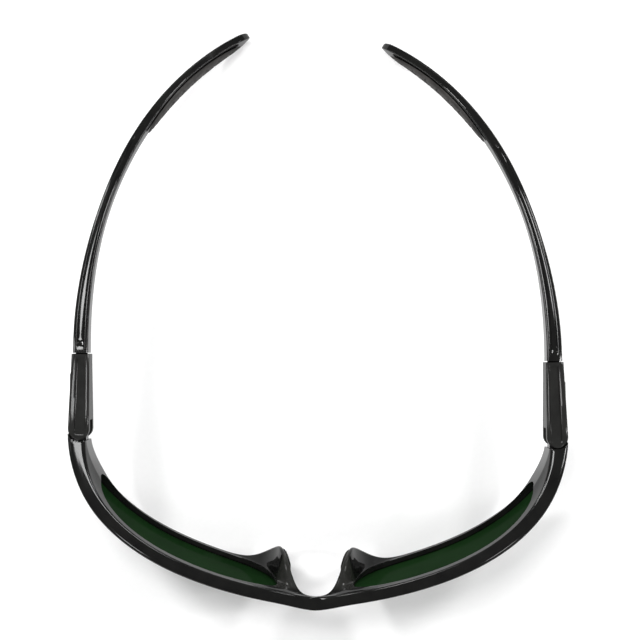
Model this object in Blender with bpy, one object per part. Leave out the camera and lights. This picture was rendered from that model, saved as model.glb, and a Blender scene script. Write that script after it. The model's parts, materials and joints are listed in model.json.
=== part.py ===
"""Wraparound welding spectacles: a full-rim front, two green lenses and two folding temples.

Frame: +X is the wearer's left, the front faces -Y, the temples run to +Y, +Z is up. The origin is the
middle of the footprint on the table. Sizes are in millimetres until a mesh is made.
"""
import math

import bmesh
import bpy
import numpy as np

MM = 0.001

# ---- Driving sizes -------------------------------------------------------------------------------
FRONT_HALF_WIDTH = 72.5    # from the middle to the outer face of an end piece
OVERALL_DEPTH = 170.0      # bridge to temple tips
WRAP_DEPTH = 50.0          # how far the end pieces reach back from the bridge
BRIDGE_SLOPE = 0.14        # how fast the brow falls back beside the bridge
BRIDGE_ROUNDING = 3.0      # length over which the two brow lines blend at the bridge
BRIDGE_FORWARD = 1.05       # how far the bridge stands in front of the brow line
FRONT_LEAN = 2.8           # how much closer to the face the lower rim lies than the brow

BROW_TOP = 41.2            # height of the brow's highest point above the table
BRIDGE_TOP = 37.2
NOSE_ARCH_TOP = 27.6
END_PIECE_LENGTH = 16.5    # along the band, from the lens opening to the hinge shoulder
END_PIECE_DEPTH = 5.2      # from the outer to the inner face, at the hinge
END_PIECE_TOP = 36.4
END_PIECE_BOTTOM = 22.6
NOSE_RIM_START = 12.4      # along the band, from the middle to the lens opening
LENS_TOP = 37.2            # highest point of the lens opening
LENS_BOTTOM = 2.7          # lowest point of the lens opening

LENS_THICKNESS = 1.7
GROOVE_DEPTH = 1.3
GROOVE_FRONT = 0.7         # depth of the groove's front wall behind the brow's front face
GROOVE_WALL = 0.8          # least thickness behind the groove
FIT_GAP = 0.3              # clearance between separate pieces
WING_THICKNESS = 1.5
NOSE_PAD_THICKNESS = 1.7
EDGE_ROUNDING = 0.7
FOOT_CUT = 0.4             # the lower rim's lowest stretch is cut flat by this much

BASE_HALF_WIDTH = 3.1      # temple base, at the hinge
BASE_REAR_HALF_WIDTH = 2.6
BASE_LENGTH = 21.7         # hinge axis to the base's rear end
BASE_REAR_HEIGHT = 10.0
TONGUE_HEIGHT = 6.8
TONGUE_HALF_WIDTH = 2.0
SCREW_RADIUS = 0.9
SCREW_HEAD_RADIUS = 1.7
SCREW_HEAD_HEIGHT = 1.1
SOCKET_LENGTH = 9.0        # how far the arm plugs into the base
PLATE_LENGTH = 11.0
PLATE_HEIGHT = 6.4
PLATE_THICKNESS = 0.7
PLATE_POCKET = 0.9         # depth of the pocket for the plate

ARM_HEIGHT = 9.4           # at the base
ARM_MIDDLE_HEIGHT = 6.2
ARM_TIP_HEIGHT = 9.0
ARM_THICKNESS = 4.5
ARM_MIDDLE_THICKNESS = 3.0
ARM_TIP_THICKNESS = 2.2
TIP_HALF_SPACING = 23.2    # from the middle to a temple's very end
TIP_END_HEIGHT = 2.0       # of the arm's centre line at its very end
TIP_LEAN = 4.0            # degrees, the inner face of a tip looks up by this much
LEFT_REST_FOLD = 2.7       # degrees, the left temple isn't quite open at rest
TIP_PAD_THICKNESS = 0.9
TIP_PAD_HEIGHT = 6.6

# ---- Detail of the curved meshes -----------------------------------------------------------------
SPAN_STEPS = math.ceil(FRONT_HALF_WIDTH / 18.2)    # sections between two rim stations
ARM_SECTIONS = 26

FRONT_Y = -OVERALL_DEPTH / 2
TIP_Y = OVERALL_DEPTH / 2
SHOULDER_Y = FRONT_Y + WRAP_DEPTH
HINGE_X = FRONT_HALF_WIDTH - BASE_HALF_WIDTH
HINGE_Y = SHOULDER_Y + 0.7
HINGE_Z = (END_PIECE_TOP + END_PIECE_BOTTOM) / 2
LENS_FRONT = GROOVE_FRONT + FIT_GAP
LENS_BACK = LENS_FRONT + LENS_THICKNESS
GROOVE_BACK = LENS_BACK + FIT_GAP


# ---- Curves --------------------------------------------------------------------------------------
def bezier(points, t):
    """Points of a cubic curve at the values t."""
    p = np.array(points, float)
    t = np.asarray(t, float)[..., None]
    return (1 - t) ** 3 * p[0] + 3 * (1 - t) ** 2 * t * p[1] + 3 * (1 - t) * t * t * p[2] + t ** 3 * p[3]


def spline(points, steps, closed=False, before=None, after=None):
    """Even-curvature spline steered by rows of numbers, with the given steps for each row.

    An open curve starts and ends on its end rows, unless the rows before and after steer its ends.
    """
    rows = np.array(points, float)
    count = len(rows)
    first = 2 * rows[0] - rows[1] if before is None else np.array(before)
    last = 2 * rows[-1] - rows[-2] if after is None else np.array(after)
    result = []
    for i in range(count if closed else count - 1):
        a, b, c, d = (rows[(i + k) % count] for k in (-1, 0, 1, 2))
        if not closed:
            a = a if i > 0 else first
            d = d if i + 2 < count else last
        for k in range(steps):
            t = k / steps
            result.append((a * (1 - t) ** 3 + b * (3 * t ** 3 - 6 * t * t + 4)
                           + c * (3 * t * t + 3 * t + 1 - 3 * t ** 3) + d * t ** 3) / 6)
    if not closed:
        result.append((rows[-2] + 4 * rows[-1] + last) / 6)
    return np.array(result)


def smooth_step(value):
    value = np.clip(value, 0, 1)
    return value * value * (3 - 2 * value)


def brow_line():
    """Plan of the front's outer face: its points, its outward directions and its running length."""
    t = np.linspace(0, 1, 601)
    start = FRONT_Y - BRIDGE_SLOPE * BRIDGE_ROUNDING
    plan = bezier([(0, start), (27.5, start + 27.5 * BRIDGE_SLOPE),
                   (FRONT_HALF_WIDTH, start + 0.28 * WRAP_DEPTH),
                   (FRONT_HALF_WIDTH, SHOULDER_Y)], t)
    x = plan[:, 0]
    plan[:, 1] += BRIDGE_SLOPE * (np.sqrt(x * x + BRIDGE_ROUNDING ** 2) - x)
    tangent = np.gradient(plan, axis=0)
    tangent[0] = (1, 0)
    tangent[-1] = (0, 1)
    tangent /= np.linalg.norm(tangent, axis=1)[:, None]
    outward = np.stack([tangent[:, 1], -tangent[:, 0]], axis=1)
    steps = np.linalg.norm(np.diff(plan, axis=0), axis=1)
    return plan, outward, np.concatenate([[0], np.cumsum(steps)])


PLAN, OUTWARD, RUN = brow_line()
BAND_LENGTH = RUN[-1]
LENS_END = BAND_LENGTH - END_PIECE_LENGTH


def band_point(run, height, depth):
    """Point of the front: run along the brow line, height above the table, depth behind its face."""
    upright = smooth_step((BAND_LENGTH - run) / END_PIECE_LENGTH)
    back = depth + FRONT_LEAN * (1 - height / BROW_TOP) * upright
    x = np.interp(run, RUN, PLAN[:, 0]) - np.interp(run, RUN, OUTWARD[:, 0]) * back
    y = np.interp(run, RUN, PLAN[:, 1]) - np.interp(run, RUN, OUTWARD[:, 1]) * back
    return (x, y, height)


# ---- Mesh helpers --------------------------------------------------------------------------------
def material(name, colour, roughness, metallic=0.0):
    result = bpy.data.materials.new(name)
    result.use_nodes = True
    shader = result.node_tree.nodes["Principled BSDF"]
    shader.inputs["Base Color"].default_value = (*colour, 1)
    shader.inputs["Roughness"].default_value = roughness
    shader.inputs["Metallic"].default_value = metallic
    return result


def mesh_from(points, faces):
    """bmesh of millimetre points, with its faces turned outward."""
    mesh = bmesh.new()
    verts = [mesh.verts.new(p) for p in points]
    for face in faces:
        mesh.faces.new([verts[i] for i in face])
    bmesh.ops.recalc_face_normals(mesh, faces=mesh.faces)
    return mesh


def tube_faces(rings, size, closed):
    """Quads between rings of points that are stored one after another."""
    faces = []
    for r in range(rings if closed else rings - 1):
        for k in range(size):
            a, b = r * size, (r + 1) % rings * size
            faces.append((a + k, a + (k + 1) % size, b + (k + 1) % size, b + k))
    return faces


def capped_tube(rings):
    """Closed solid lofted through the rings."""
    size = len(rings[0])
    points = [tuple(p) for ring in rings for p in ring]
    faces = tube_faces(len(rings), size, False)
    faces.append(tuple(range(size)))
    faces.append(tuple(range(len(points) - size, len(points))))
    return mesh_from(points, faces)


def box(low, high):
    x0, y0, z0 = low
    x1, y1, z1 = high
    return capped_tube([[(x, y0, z0), (x, y1, z0), (x, y1, z1), (x, y0, z1)] for x in (x0, x1)])


def cylinder(radius, bottom, top, sides=24, centre=(HINGE_X, HINGE_Y)):
    rings = []
    for z in (bottom, top):
        angles = [2 * math.pi * k / sides for k in range(sides)]
        rings.append([(centre[0] + radius * math.cos(a), centre[1] + radius * math.sin(a), z)
                      for a in angles])
    return capped_tube(rings)


def add_object(name, mesh, look, mirrored=False, smooth_angle=35):
    """Object with its origin on the table at the middle, from a millimetre bmesh."""
    if mirrored:
        bmesh.ops.scale(mesh, vec=(-1, 1, 1), verts=mesh.verts)
        bmesh.ops.reverse_faces(mesh, faces=mesh.faces)
    bmesh.ops.scale(mesh, vec=(MM, MM, MM), verts=mesh.verts)
    data = bpy.data.meshes.new(name)
    mesh.to_mesh(data)
    mesh.free()
    data.shade_smooth()
    data.set_sharp_from_angle(angle=math.radians(smooth_angle))
    data.materials.append(look)
    thing = bpy.data.objects.new(name, data)
    bpy.context.scene.collection.objects.link(thing)
    return thing


def combine(thing, tool_mesh, operation, mirrored=False):
    """Cut or join a millimetre bmesh to an object, and keep the result as its mesh."""
    tool = add_object("tool", tool_mesh, thing.data.materials[0], mirrored)
    tool.hide_render = True
    tool.display_type = "WIRE"
    boolean = thing.modifiers.new("shape", "BOOLEAN")
    boolean.operation = operation
    boolean.object = tool
    bpy.context.view_layer.update()
    evaluated = thing.evaluated_get(bpy.context.evaluated_depsgraph_get())
    result = bpy.data.meshes.new_from_object(evaluated)
    thing.modifiers.remove(boolean)
    old = thing.data
    thing.data = result
    bpy.data.meshes.remove(old)
    bpy.data.objects.remove(tool, do_unlink=True)


# ---- Front ---------------------------------------------------------------------------------------
def rim_stations():
    """Matched points of the front's outline and of the lens opening, all the way round one side.

    A row holds: outline run, outline height, opening run, opening height, front depth, back depth,
    wing depth and wing shift away from the nose.
    """
    end = BAND_LENGTH
    lens = LENS_END
    nose = NOSE_RIM_START
    top = LENS_TOP
    low = LENS_BOTTOM
    brow_run = [
        (0, BRIDGE_TOP, nose + 0.4, top - 4.6, -BRIDGE_FORWARD, 3.1, 0, 0),
        (7, BRIDGE_TOP + 0.9, nose + 3.6, top - 1.4, -0.1, 3.3, 0, 0),
        (17, BROW_TOP - 1.0, nose + 10.5, top - 0.2, 0, 3.7, 0, 0),
        (33, BROW_TOP + 0.1, nose + 22.0, top + 0.2, 0, 3.9, 0, 0),
        (50, BROW_TOP - 0.2, lens - 29, top, 0, 4.0, 0, 0),
        (66, BROW_TOP - 1.6, lens - 15.5, top - 1.3, 0, 4.1, 0, 0),
        (end - 15, END_PIECE_TOP + 1.7, lens - 5.5, top - 4, 0, 4.2, 0, 0),
        (end, END_PIECE_TOP, lens - 0.6, top - 8, 0, END_PIECE_DEPTH, 0, 0)]
    hinge_run = [
        (end, HINGE_Z + 2.2, lens + 0.6, top - 12, 0, END_PIECE_DEPTH, 0, 0),
        (end, HINGE_Z - 2.2, lens + 0.2, top - 15.4, 0, END_PIECE_DEPTH, 0, 0)]
    lower_run = [
        (end, END_PIECE_BOTTOM, lens - 1.6, low + 15.6, 0, END_PIECE_DEPTH, 0, 0),
        (end - 11, END_PIECE_BOTTOM - 3.2, lens - 5.6, low + 11, 0, 4.9, 0, 0),
        (end - 24, END_PIECE_BOTTOM - 12.0, lens - 12.5, low + 6.0, 0.2, 4.4, 0, 0),
        (62, 3.8, lens - 21, low + 2.4, 0.2, 4.3, 0, 0),
        (47, 0.3, nose + 33, low + 0.2, 0.2, 4.3, 0, 0),
        (33, -FOOT_CUT, nose + 21, low - 0.2, 0.2, 4.3, 0, 0),
        (22.5, 1.0, nose + 12, low + 1.4, 0.2, 4.3, 0, 0),
        (16.6, 5.0, nose + 6.0, low + 5.8, 0.2, 4.4, 4.4, 0.4),
        (13.4, 12.5, nose + 2.4, low + 12, 0.1, 4.2, 8.2, 0.8),
        (11.6, 19.5, nose + 0.6, low + 18, -0.2, 3.6, 9.6, 1.2),
        (9.6, NOSE_ARCH_TOP - 3.0, nose - 0.3, low + 23, -0.7, 2.6, 8.6, 0.6),
        (5.6, NOSE_ARCH_TOP + 0.2, nose - 0.3, low + 26.6, -1.1, 1.6, 0.4, 0.2),
        (0, NOSE_ARCH_TOP, nose, low + 28.8, -1.3, 1.4, 0, 0)]
    return brow_run, hinge_run, lower_run


def rim_rows(steps):
    """The stations with smooth rows between them, in order round the lens opening."""
    brow_run, hinge_run, lower_run = rim_stations()
    opening = spline(brow_run + hinge_run + lower_run, steps, closed=True)
    across = np.array([-1, 1, 1, 1, 1, 1, 1, 1])
    top = spline(brow_run, steps, before=brow_run[1] * across)
    face = spline([brow_run[-1]] + hinge_run + [lower_run[0]], steps)
    bottom = spline(lower_run, steps, after=lower_run[-2] * across)
    bridge = np.linspace(bottom[-1], top[0], steps + 1)
    rows = np.concatenate([top[:-1], face[:-1], bottom[:-1], bridge[:-1]])
    rows[:, 2:4] = opening[:, 2:4]
    return rows


def rim_section(row):
    """Outline of the rim at one row, as run, height and depth of each corner."""
    start = np.array(row[2:4])
    reach = np.array(row[0:2]) - start
    width = np.linalg.norm(reach)
    direction = reach / width
    front, back, wing, shift = row[4:8]
    lens_back = max(back, GROOVE_BACK + GROOVE_WALL)
    winged = smooth_step(wing / 3.0)
    rear = back + wing
    rear_edge = width - shift * smooth_step(row[0] / 5.0)
    inner_edge = (1 - winged) * 0.75 * width + winged * (rear_edge - WING_THICKNESS)
    root = (1 - winged) * 0.5 * width + winged * max(width - WING_THICKNESS - 0.9, 0.2 * width)
    near = min(0.25 * width, 0.5 * root)
    root_back = max(back + 0.7 * winged, lens_back * winged)
    corners = [
        (0, front), (width / 3, front), (width * 2 / 3, front), (width, front),
        ((width + rear_edge) / 2, (front + rear) / 2),
        (rear_edge, rear), (inner_edge, rear), (root, root_back),
        (near, lens_back), (0, lens_back),
        (0, GROOVE_BACK), (GROOVE_DEPTH, GROOVE_BACK), (GROOVE_DEPTH, GROOVE_FRONT), (0, GROOVE_FRONT)]
    return [(*(start + direction * a), d) for a, d in corners]


ROUNDED_CORNERS = (3, 5, 6)   # the section's outer front, outer back and wing corners


def front_half():
    """One side of the front as an open shell that ends on the middle plane."""
    rows = rim_rows(SPAN_STEPS)
    sections = [rim_section(row) for row in rows]
    size = len(sections[0])
    points = [band_point(*corner) for section in sections for corner in section]
    points = [(0.0, y, z) if abs(section[0]) < 1e-6 else (x, y, z)
              for (x, y, z), section in zip(points, (c for s in sections for c in s))]
    faces = tube_faces(len(sections), size, True)
    kept = [f for f in faces if not all(abs(points[i][0]) < 1e-9 for i in f)]
    return points, kept, size


def front_shell():
    """Both sides of the front, welded at the bridge, with its long edges rounded."""
    points, faces, size = front_half()
    count = len(points)
    mirrored = [(-x, y, z) for x, y, z in points]
    mesh = mesh_from(points + mirrored, faces + [tuple(count + i for i in reversed(f)) for f in faces])
    mesh.verts.ensure_lookup_table()
    edges = []
    for edge in mesh.edges:
        first, second = (v.index % count for v in edge.verts)
        corner = first % size
        if corner == second % size and corner in ROUNDED_CORNERS and first // size != second // size:
            if max(abs(v.co.y - SHOULDER_Y) for v in edge.verts) > 0.5:
                edges.append(edge)
    middle = [v for v in mesh.verts if abs(v.co.x) < 1e-6]
    lonely = [v for v in mesh.verts if not v.link_faces]
    bmesh.ops.remove_doubles(mesh, verts=middle, dist=0.001)
    bmesh.ops.delete(mesh, geom=[v for v in lonely if v.is_valid], context="VERTS")
    edges = [e for e in edges if e.is_valid and len(e.link_faces) == 2]
    bmesh.ops.bevel(mesh, geom=edges, offset=EDGE_ROUNDING, segments=1, profile=0.5,
                    affect="EDGES", clamp_overlap=True)
    bmesh.ops.recalc_face_normals(mesh, faces=mesh.faces)
    return mesh


def build_front(black):
    """The front, with a tongue and a screw hole for each temple base."""
    front = add_object("front_frame", front_shell(), black)
    prong_room = BASE_HALF_WIDTH + FIT_GAP
    tongue_low = HINGE_Z - TONGUE_HEIGHT / 2
    tongue_high = HINGE_Z + TONGUE_HEIGHT / 2
    combine(front, box((-FRONT_HALF_WIDTH, FRONT_Y, -3), (FRONT_HALF_WIDTH, HINGE_Y, 0)), "DIFFERENCE")
    for mirrored in (False, True):
        combine(front, cylinder(prong_room, END_PIECE_BOTTOM - 5, END_PIECE_TOP + 5), "DIFFERENCE", mirrored)
        combine(front, box((HINGE_X - 9, HINGE_Y - prong_room, END_PIECE_BOTTOM - 5),
                           (HINGE_X, HINGE_Y + 3, END_PIECE_TOP + 5)), "DIFFERENCE", mirrored)
        combine(front, tongue(tongue_low, tongue_high), "UNION", mirrored)
        combine(front, cylinder(SCREW_RADIUS + FIT_GAP, tongue_low - 1, tongue_high + 1, 16),
                "DIFFERENCE", mirrored)
    return front


def tongue(low, high):
    """Hinge tongue: straight sides rooted in the end piece and a round end about the screw."""
    root = HINGE_Y - BASE_HALF_WIDTH - 1.6
    outline = [(HINGE_X - TONGUE_HALF_WIDTH, root), (HINGE_X + TONGUE_HALF_WIDTH, root)]
    for k in range(9):
        angle = math.pi * k / 8
        outline.append((HINGE_X + TONGUE_HALF_WIDTH * math.cos(angle),
                        HINGE_Y + TONGUE_HALF_WIDTH * math.sin(angle)))
    return capped_tube([[(x, y, z) for x, y in outline] for z in (low, high)])


# ---- Lenses and nose pads ------------------------------------------------------------------------
def lens_mesh():
    """Curved sheet that fills the opening and stands in the groove with the fitting gap."""
    rows = rim_rows(SPAN_STEPS)
    start = rows[:, 2:4]
    direction = rows[:, 0:2] - start
    direction /= np.linalg.norm(direction, axis=1)[:, None]
    outline = start + direction * (GROOVE_DEPTH - FIT_GAP)
    centre = outline.mean(axis=0)
    inside_groove = start - direction * GROOVE_DEPTH
    points = []
    faces = []
    for depth in (LENS_FRONT, LENS_BACK):
        base = len(points)
        rings = [outline, inside_groove]
        rings += [centre + (inside_groove - centre) * share for share in (0.72, 0.48, 0.24)]
        for ring in rings:
            points += [band_point(run, height, depth) for run, height in ring]
        points.append(band_point(*centre, depth))
        count = len(outline)
        faces += [tuple(base + i for i in face) for face in tube_faces(len(rings), count, False)]
        last = base + (len(rings) - 1) * count
        faces += [(last + k, last + (k + 1) % count, len(points) - 1) for k in range(count)]
    other = len(points) // 2
    faces += [(k, (k + 1) % count, other + (k + 1) % count, other + k) for k in range(count)]
    return mesh_from(points, faces)


def nose_pad_mesh():
    """Soft strip on the nose side of the wing."""
    bottom_station = 17    # counted along all the rim stations
    top_station = 20
    rows = rim_rows(SPAN_STEPS)[bottom_station * SPAN_STEPS:top_station * SPAN_STEPS + 1]
    rings = []
    for index, row in enumerate(rows):
        share = index / (len(rows) - 1)
        swell = NOSE_PAD_THICKNESS * (0.35 + 0.65 * math.sin(math.pi * share))
        start = np.array(row[2:4])
        reach = np.array(row[0:2]) - start
        width = np.linalg.norm(reach)
        rear = row[5] + row[6]
        front = row[4] + 2.4
        rear -= 0.5

        def on_wing(depth):
            """Distance of the wing's nose face from the lens opening at a depth."""
            return width - row[7] * smooth_step(row[0] / 5.0) * (depth - row[4]) / (row[5] + row[6] - row[4])

        middle = (front + rear) / 2
        outline = [(on_wing(d) + FIT_GAP, d) for d in (front, middle, rear)]
        outline += [(on_wing(rear) + FIT_GAP + 0.6 * swell, rear - 0.1),
                    (on_wing(middle) + FIT_GAP + swell, middle + 1.0),
                    (on_wing(middle) + FIT_GAP + swell, middle - 1.0),
                    (on_wing(front) + FIT_GAP + 0.5 * swell, front + 0.1)]
        rings.append([band_point(*(start + reach / width * a), d) for a, d in outline])
    return capped_tube(rings)


# ---- Temples -------------------------------------------------------------------------------------
def base_half_width(y):
    """Half the plan width of a temple base, whose front end is round about the hinge."""
    if y < HINGE_Y:
        return math.sqrt(max(BASE_HALF_WIDTH ** 2 - (y - HINGE_Y) ** 2, 0.04))
    return BASE_HALF_WIDTH + (BASE_REAR_HALF_WIDTH - BASE_HALF_WIDTH) * (y - HINGE_Y) / BASE_LENGTH


def base_half_height(y):
    share = smooth_step((y - HINGE_Y) / BASE_LENGTH)
    full = (END_PIECE_TOP - END_PIECE_BOTTOM) / 2
    return full + (BASE_REAR_HEIGHT / 2 - full) * share


def rounded_rectangle(half_width, half_height, radius, steps=2):
    """Outline about the origin with round corners."""
    radius = min(radius, half_width * 0.9, half_height * 0.9)
    outline = []
    for corner, (sx, sz) in enumerate([(1, 1), (-1, 1), (-1, -1), (1, -1)]):
        for k in range(steps + 1):
            angle = math.pi / 2 * (corner + k / steps)
            outline.append((sx * (half_width - radius) + radius * math.cos(angle),
                            sz * (half_height - radius) + radius * math.sin(angle)))
    return outline


def base_mesh():
    front_stations = [HINGE_Y - BASE_HALF_WIDTH * math.sin(math.radians(a)) for a in (90, 72, 50, 25)]
    straight = [HINGE_Y + BASE_LENGTH * k / 6 for k in range(7)]
    rings = []
    for y in front_stations + straight:
        outline = rounded_rectangle(base_half_width(y), base_half_height(y), 1.0)
        rings.append([(HINGE_X + x, y, HINGE_Z + z) for x, z in outline])
    return capped_tube(rings)


def build_base(name, grey, mirrored):
    """Temple base: the hinge fork, the screw's holes, the arm's socket and the plate's pocket."""
    base = add_object(name, base_mesh(), grey, mirrored)
    rear = HINGE_Y + BASE_LENGTH
    slot = TONGUE_HEIGHT / 2 + FIT_GAP
    reach = BASE_HALF_WIDTH + 2
    combine(base, box((HINGE_X - reach, HINGE_Y - reach, HINGE_Z - slot),
                      (HINGE_X + reach, HINGE_Y + TONGUE_HALF_WIDTH + 2 * FIT_GAP, HINGE_Z + slot)),
            "DIFFERENCE", mirrored)
    screw_top = END_PIECE_TOP - 1.4
    combine(base, cylinder(SCREW_RADIUS + FIT_GAP, END_PIECE_BOTTOM - 1, screw_top, 16),
            "DIFFERENCE", mirrored)
    head_room = SCREW_HEAD_HEIGHT + 2 * FIT_GAP
    combine(base, cylinder(SCREW_HEAD_RADIUS + FIT_GAP, END_PIECE_BOTTOM - 1, END_PIECE_BOTTOM + head_room, 20),
            "DIFFERENCE", mirrored)
    combine(base, spigot(FIT_GAP, rear + 1), "DIFFERENCE", mirrored)
    low, high = plate_place()
    pocket_low = [value - FIT_GAP for value in low]
    pocket_high = [high[0] + 1.5, high[1] + FIT_GAP, high[2] + FIT_GAP]
    combine(base, box(pocket_low, pocket_high), "DIFFERENCE", mirrored)
    return base


def plate_place():
    """Corners of the blank side plate, which stands a little proud of the base's outer face."""
    middle = HINGE_Y + 10.5
    outer = HINGE_X + base_half_width(middle - PLATE_LENGTH / 2)
    inner = outer - PLATE_POCKET + FIT_GAP
    return ((inner, middle - PLATE_LENGTH / 2, HINGE_Z - PLATE_HEIGHT / 2),
            (inner + PLATE_THICKNESS, middle + PLATE_LENGTH / 2, HINGE_Z + PLATE_HEIGHT / 2))


def spigot(growth, rear):
    """Block on the arm's front end that fills the base's socket."""
    front = HINGE_Y + BASE_LENGTH - SOCKET_LENGTH - growth
    half_width = BASE_REAR_HALF_WIDTH - 1.1 + growth
    half_height = BASE_REAR_HEIGHT / 2 - 2.2 + growth
    return box((HINGE_X - half_width, front, HINGE_Z - half_height),
               (HINGE_X + half_width, rear, HINGE_Z + half_height))


def screw_mesh():
    """Hinge screw with its head at the bottom and a driver slot."""
    bottom = END_PIECE_BOTTOM + FIT_GAP
    shoulder = bottom + SCREW_HEAD_HEIGHT
    top = END_PIECE_TOP - 1.4 - 2 * FIT_GAP
    rings = []
    for radius, z in ((SCREW_HEAD_RADIUS - 0.2, bottom), (SCREW_HEAD_RADIUS, bottom + 0.3),
                      (SCREW_HEAD_RADIUS, shoulder), (SCREW_RADIUS, shoulder + 0.01),
                      (SCREW_RADIUS, top - 0.4), (SCREW_RADIUS - 0.35, top)):
        rings.append([(HINGE_X + radius * math.cos(2 * math.pi * k / 16),
                       HINGE_Y + radius * math.sin(2 * math.pi * k / 16), z) for k in range(16)])
    return capped_tube(rings)


def arm_path(t):
    """Centre line of an arm, from the base to the tip."""
    start = HINGE_Y + BASE_LENGTH + FIT_GAP
    reach = TIP_Y - start
    return bezier([(HINGE_X, start, HINGE_Z),
                   (HINGE_X + 1.0, start + 0.37 * reach, HINGE_Z - 0.6),
                   (HINGE_X - 12.6, start + 0.79 * reach, HINGE_Z - 2.0),
                   (TIP_HALF_SPACING, TIP_Y - 1.0, TIP_END_HEIGHT)], t)


def arm_frame(t):
    """Centre, inward direction and upward direction of an arm's section."""
    step = 0.002
    centre = arm_path(t)
    ahead = arm_path(min(t + step, 1)) - arm_path(max(t - step, 0))
    ahead /= np.linalg.norm(ahead)
    inward = np.cross((0, 0, 1), ahead)
    inward /= np.linalg.norm(inward)
    up = np.cross(ahead, inward)
    lean = math.radians(TIP_LEAN) * smooth_step((t - 0.3) / 0.5)
    return (centre, inward * math.cos(lean) + up * math.sin(lean),
            up * math.cos(lean) - inward * math.sin(lean))


def arm_size(t):
    """Half thickness and half height of an arm."""
    if t < 0.5:
        share = smooth_step(t / 0.42)
        thickness = ARM_THICKNESS + (ARM_MIDDLE_THICKNESS - ARM_THICKNESS) * share
        height = ARM_HEIGHT + (ARM_MIDDLE_HEIGHT - ARM_HEIGHT) * share
    else:
        share = smooth_step((t - 0.5) / 0.35)
        thickness = ARM_MIDDLE_THICKNESS + (ARM_TIP_THICKNESS - ARM_MIDDLE_THICKNESS) * share
        height = ARM_MIDDLE_HEIGHT + (ARM_TIP_HEIGHT - ARM_MIDDLE_HEIGHT) * share
    return thickness / 2, height / 2


def arm_mesh():
    rings = []
    for t in np.linspace(0, 0.955, ARM_SECTIONS):
        rings.append(arm_ring(t, 1.0))
    for t, share in ((0.975, 0.9), (0.99, 0.68), (1.0, 0.36)):
        rings.append(arm_ring(t, share))
    return capped_tube(rings)


def arm_ring(t, share):
    centre, inward, up = arm_frame(t)
    half_thickness, half_height = arm_size(t)
    outline = rounded_rectangle(half_thickness * (0.4 + 0.6 * share), half_height * share, 0.9)
    return [centre + inward * x + up * z for x, z in outline]


def build_arm(name, black, mirrored):
    arm = add_object(name, arm_mesh(), black, mirrored)
    combine(arm, spigot(0, HINGE_Y + BASE_LENGTH + 2.0), "UNION", mirrored)
    return arm


def tip_pad_mesh():
    """Soft grip that lies on the inner face of an arm's end."""
    rings = []
    for k, t in enumerate(np.linspace(0.62, 0.965, 15)):
        centre, inward, up = arm_frame(t)
        half_thickness, half_height = arm_size(t)
        taper = math.sin(math.pi * min(max((k + 0.6) / 15.2, 0), 1)) ** 0.35
        half = TIP_PAD_HEIGHT / 2 * taper
        start = half_thickness + FIT_GAP
        outline = [(start, -half), (start, half), (start + 0.5 * TIP_PAD_THICKNESS, half),
                   (start + TIP_PAD_THICKNESS, half - 1.0), (start + TIP_PAD_THICKNESS, -half + 1.0),
                   (start + 0.5 * TIP_PAD_THICKNESS, -half)]
        rings.append([centre + inward * x + up * z for x, z in outline])
    return capped_tube(rings)


# ---- Assembly ------------------------------------------------------------------------------------
def hang_on_hinge(things, side):
    """Parent a temple's pieces to an empty on its hinge axis, and turn it to its rest angle."""
    sign = 1 if side == "left" else -1
    pivot = bpy.data.objects.new("temple_pivot_" + side, None)
    pivot.location = (sign * HINGE_X * MM, HINGE_Y * MM, HINGE_Z * MM)
    bpy.context.scene.collection.objects.link(pivot)
    bpy.context.view_layer.update()
    for thing in things:
        thing.parent = pivot
        thing.matrix_parent_inverse = pivot.matrix_world.inverted()
    pivot.rotation_euler.z = math.radians(LEFT_REST_FOLD) if side == "left" else 0


def build():
    for thing in list(bpy.data.objects):
        bpy.data.objects.remove(thing, do_unlink=True)
    black = material("glossy_black_nylon", (0.012, 0.012, 0.012), 0.16)
    grey = material("satin_grey_nylon", (0.075, 0.075, 0.07), 0.38)
    green = material("dark_green_lens", (0.01, 0.055, 0.012), 0.05)
    soft = material("soft_grey_rubber", (0.11, 0.11, 0.105), 0.55)
    grip = material("dark_grip_rubber", (0.06, 0.06, 0.06), 0.6)
    steel = material("screw_steel", (0.55, 0.55, 0.56), 0.3, 1.0)
    build_front(black)
    for side, mirrored in (("left", False), ("right", True)):
        add_object("lens_" + side, lens_mesh(), green, mirrored)
        add_object("nose_pad_" + side, nose_pad_mesh(), soft, mirrored)
        plate_low, plate_high = plate_place()
        hang_on_hinge([
            build_base("temple_base_" + side, grey, mirrored),
            add_object("side_plate_" + side, box(plate_low, plate_high), grey, mirrored),
            build_arm("temple_arm_" + side, black, mirrored),
            add_object("tip_pad_" + side, tip_pad_mesh(), grip, mirrored),
            add_object("hinge_screw_" + side, screw_mesh(), steel, mirrored)], side)


build()
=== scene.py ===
"""Looks for the wraparound welding spectacles: fine shells, materials, light and camera.

Shapes are worked out in millimetres, in the frame's own axes, and made into metres by the mesh helpers.
"""
import json
import math

import bmesh
import bpy
import numpy as np
from mathutils import Matrix, Vector


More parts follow.
